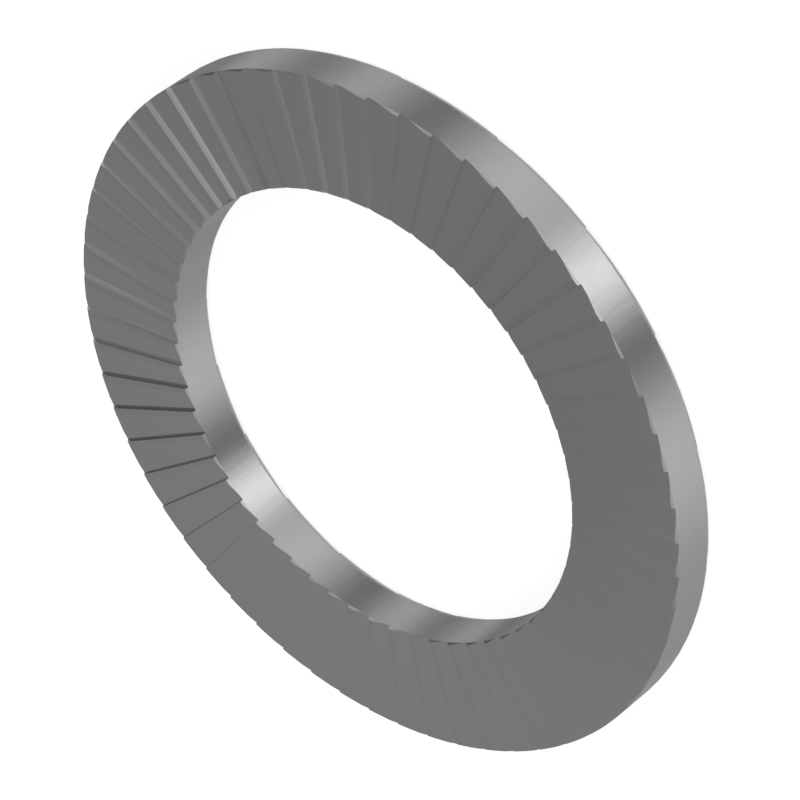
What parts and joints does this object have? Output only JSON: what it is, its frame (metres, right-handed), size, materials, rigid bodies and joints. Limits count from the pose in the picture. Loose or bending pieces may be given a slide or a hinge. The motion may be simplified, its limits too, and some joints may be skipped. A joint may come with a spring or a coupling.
{
  "type": "serrated wedge locking washer",
  "caption": "Flat steel ring with radial saw teeth on the upper face and wedge cams on the lower face; one half of a locking pair that keeps a bolt or nut from turning loose.",
  "frame": {"origin": "on the washer's axis, in the plane of the cam tips that it rests on", "axes": "+Z along the axis, out of the serrated face; +X through one steep tooth flank that stands above a cam drop"},
  "size_m": [0.0194, 0.0194, 0.0014],
  "materials": {
    "steel": "smooth bright zinc flake look, sharp edges"
  },
  "bodies": {
    "root": {"locking_washer": "steel"}
  },
  "joints": []
}
